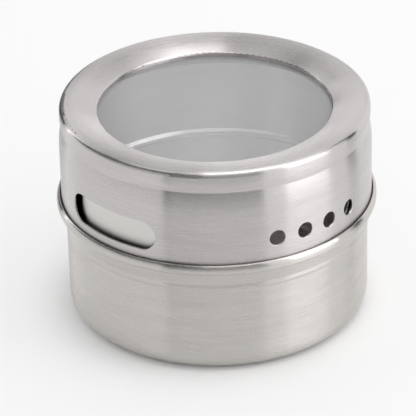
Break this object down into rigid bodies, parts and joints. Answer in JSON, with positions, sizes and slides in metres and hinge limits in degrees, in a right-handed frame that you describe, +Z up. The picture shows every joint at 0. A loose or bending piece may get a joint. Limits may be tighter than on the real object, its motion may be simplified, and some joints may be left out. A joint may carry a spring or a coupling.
{
  "type": "sift-and-pour spice tin",
  "caption": "Round brushed-steel spice tin with a flared collar, and a turning lid with a clear window, a row of sift holes and a pour slot.",
  "frame": {"origin": "on the tin's axis, in the plane of the foot that it stands on", "axes": "+Z up along the tin's axis; the neck's pour opening faces -Y, and so do the sift holes at rest; +X to the right of them"},
  "size_m": [0.064, 0.064, 0.0445],
  "materials": {
    "cup_steel": "satin",
    "neck_steel": "satin",
    "lid_steel": "satin",
    "clear_pane": "gloss",
    "seal_plastic": "satin",
    "magnet_ferrite": "matte",
    "glue_pad": "matte"
  },
  "bodies": {
    "base": {"cup_body": "cup_steel", "neck_ring": "neck_steel", "magnet": "magnet_ferrite", "magnet_adhesive": "glue_pad"},
    "seal": {"seal_ring": "seal_plastic"},
    "lid": {"lid_shell": "lid_steel", "window_pane": "clear_pane"}
  },
  "joints": [
    {"name": "lid_lift", "type": "slide", "parent": "base", "child": "seal", "axis": [0, 0, 1], "range_m": [0, 0.025]},
    {"name": "lid_turn", "type": "hinge", "parent": "seal", "child": "lid", "pos_m": [0, 0, 0.0411], "axis": [0, 0, 1], "continuous": true}
  ]
}
